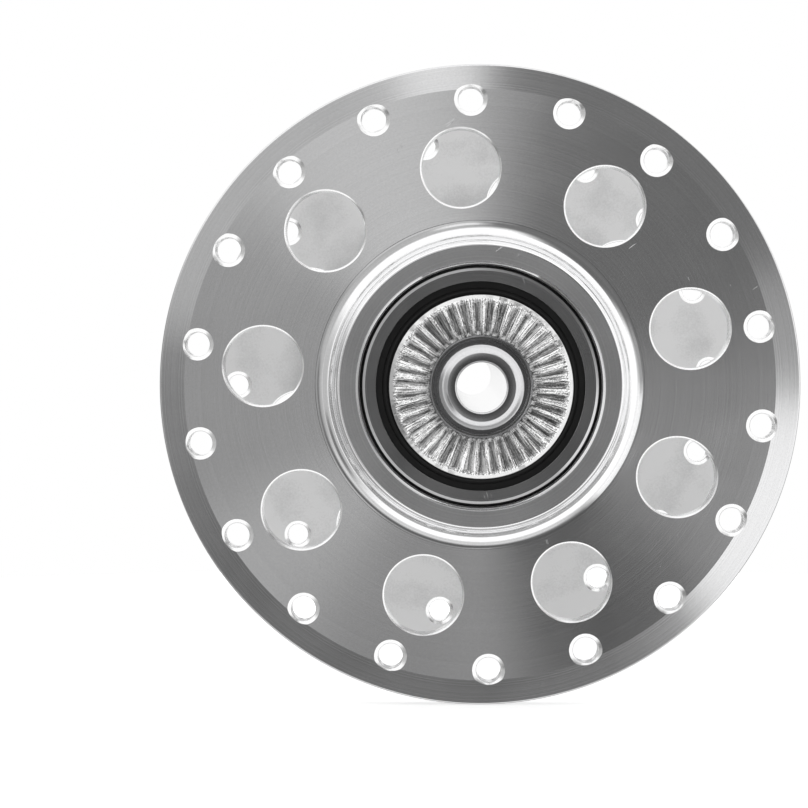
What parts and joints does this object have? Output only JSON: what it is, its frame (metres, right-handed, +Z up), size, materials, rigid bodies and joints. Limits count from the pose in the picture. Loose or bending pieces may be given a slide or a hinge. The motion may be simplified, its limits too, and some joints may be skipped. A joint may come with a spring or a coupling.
{
  "type": "high flange front hub",
  "caption": "Front wheel hub with high drilled flanges: an aluminium shell that turns on sealed ball bearings about a hollow axle, held in the fork by serrated locknuts.",
  "frame": {"origin": "middle of the hub, on the axle's middle line", "axes": "+Y along the axle to the left locknut, +Z up, +X to the right in the picture; the picture shows the -Y end"},
  "size_m": [0.07, 0.108, 0.07],
  "materials": {
    "shell_aluminium": "turned and polished",
    "axle_steel": "turned, bright plated",
    "plated_steel": "bright plated over rough grooves",
    "bearing_steel": "ground",
    "polished_steel": "polished",
    "stamped_steel": "stamped sheet",
    "rubber": "moulded, satin"
  },
  "bodies": {
    "axle_assembly": {"axle": "axle_steel", "locknut_left": "plated_steel", "locknut_right": "plated_steel", "axle_spacer_left": "axle_steel", "axle_spacer_right": "axle_steel", "bearing_inner_ring_left": "bearing_steel", "bearing_inner_ring_right": "bearing_steel"},
    "hub": {"hub_shell": "shell_aluminium", "bearing_outer_ring_left": "bearing_steel", "bearing_outer_ring_right": "bearing_steel", "seal_outboard_left": "rubber", "seal_outboard_right": "rubber", "seal_inboard_left": "rubber", "seal_inboard_right": "rubber"},
    "cage_left": {"bearing_balls_left": "polished_steel", "cage_outboard_half_left": "stamped_steel", "cage_inboard_half_left": "stamped_steel", "cage_rivets_left": "stamped_steel"},
    "cage_right": {"bearing_balls_right": "polished_steel", "cage_outboard_half_right": "stamped_steel", "cage_inboard_half_right": "stamped_steel", "cage_rivets_right": "stamped_steel"}
  },
  "joints": [
    {"name": "hub_spin", "type": "hinge", "parent": "axle_assembly", "child": "hub", "pos_m": [0, 0, 0], "axis": [0, 1, 0], "continuous": true},
    {"name": "cage_left_spin", "type": "hinge", "parent": "axle_assembly", "child": "cage_left", "pos_m": [0, 0.04, 0], "axis": [0, 1, 0], "continuous": true},
    {"name": "cage_right_spin", "type": "hinge", "parent": "axle_assembly", "child": "cage_right", "pos_m": [0, -0.04, 0], "axis": [0, 1, 0], "continuous": true}
  ],
  "couplings": [
    {"joint": "cage_left_spin", "follows": "hub_spin", "ratio": 0.63228},
    {"joint": "cage_right_spin", "follows": "hub_spin", "ratio": 0.63228}
  ]
}
